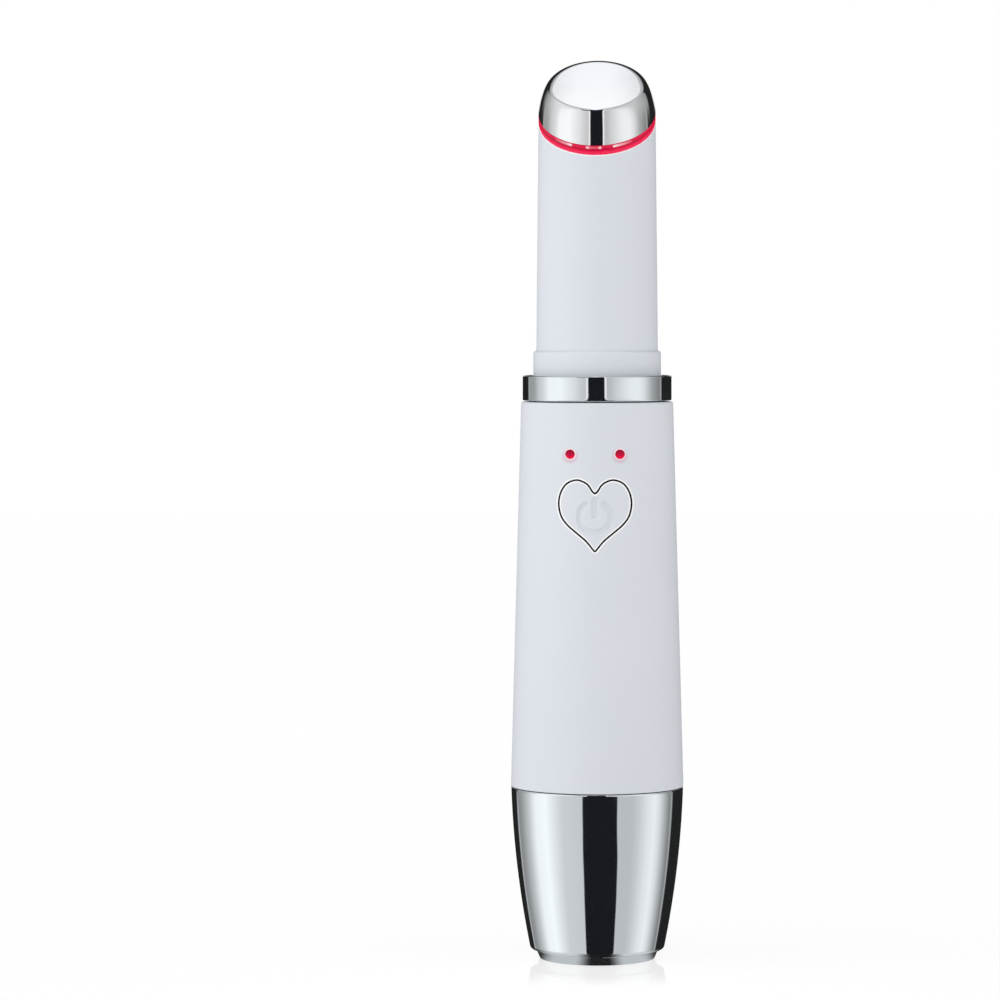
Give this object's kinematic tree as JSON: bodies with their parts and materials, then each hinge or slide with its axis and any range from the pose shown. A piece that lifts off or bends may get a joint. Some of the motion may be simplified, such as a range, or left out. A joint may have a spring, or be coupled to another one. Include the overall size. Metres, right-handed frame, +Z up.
{
  "type": "heated eye massager wand",
  "caption": "Slim upright eye massager wand: heated leaning chrome head over a lit ring, white neck and handle with a heart button, chrome base with a charging socket.",
  "frame": {"origin": "centre of the object's footprint, on the surface that it stands on", "axes": "+Z up along the wand; -Y is the front, with the heart button and the side that the head leans toward; +X is the viewer's right"},
  "size_m": [0.0262, 0.0262, 0.1364],
  "materials": {
    "white_plastic": "smooth satin moulded plastic",
    "chrome": "mirror polished plating",
    "satin_chrome": "satin darker plating",
    "red_light_plastic": "clear tinted, lit from within",
    "steel": "plain rolled",
    "brass": "plain",
    "frame_plastic": "plain moulded",
    "black_plastic": "plain moulded",
    "green_board": "solder mask over glass laminate",
    "grey_rubber": "soft moulded",
    "ceramic_white": "plain",
    "cell_wrap": "shrunk film over a steel can",
    "foam": "open foam",
    "red_lead": "soft insulation",
    "black_lead": "soft insulation"
  },
  "bodies": {
    "body": {"foot_plug": "satin_chrome", "chrome_base": "chrome", "handle_casing": "white_plastic", "chrome_ring": "chrome", "neck_tube": "white_plastic", "light_ring": "red_light_plastic", "massage_head": "chrome", "tact_switch": "black_plastic", "indicator_lens_left": "red_light_plastic", "indicator_lens_right": "red_light_plastic", "indicator_led_left": "ceramic_white", "indicator_led_right": "ceramic_white", "main_board": "green_board", "controller_chip": "black_plastic", "power_inductor": "grey_rubber", "storage_capacitor": "brass", "board_screw_lower": "steel", "board_screw_upper": "steel", "inner_frame": "frame_plastic", "battery_cell": "cell_wrap", "battery_tab_top": "steel", "battery_tab_bottom": "steel", "battery_pad": "foam", "battery_lead_plus": "red_lead", "battery_lead_minus": "black_lead", "charge_socket_shell": "steel", "charge_socket_tongue": "black_plastic", "charge_board": "green_board", "charge_chip": "black_plastic", "charge_lead_plus": "red_lead", "charge_lead_minus": "black_lead", "motor_can": "steel", "motor_end_cap": "black_plastic", "motor_sleeve": "grey_rubber", "motor_lead_plus": "red_lead", "motor_lead_minus": "black_lead", "heater_plate": "brass", "thermistor": "black_plastic", "head_carrier": "frame_plastic", "heater_lead_plus": "red_lead", "heater_lead_minus": "black_lead", "light_board": "green_board", "light_led_1": "ceramic_white", "light_led_2": "ceramic_white", "light_led_3": "ceramic_white", "light_led_4": "ceramic_white", "light_lead_plus": "red_lead", "light_lead_minus": "black_lead"},
    "button": {"heart_button": "white_plastic"},
    "plunger": {"switch_plunger": "brass"},
    "rotor": {"motor_rotor": "brass", "eccentric_weight": "steel"}
  },
  "joints": [
    {"name": "button_press", "type": "slide", "parent": "body", "child": "button", "axis": [0, 1, 0], "range_m": [0, 0.0004], "stiffness_N_per_m": 400, "springref_m": -0.0002},
    {"name": "plunger_press", "type": "slide", "parent": "body", "child": "plunger", "axis": [0, 1, 0], "range_m": [0, 0.0004]},
    {"name": "rotor_spin", "type": "hinge", "parent": "body", "child": "rotor", "pos_m": [0, 0, 0.09933], "axis": [0, 0, 1], "continuous": true}
  ],
  "couplings": [
    {"joint": "plunger_press", "follows": "button_press", "ratio": 1}
  ]
}
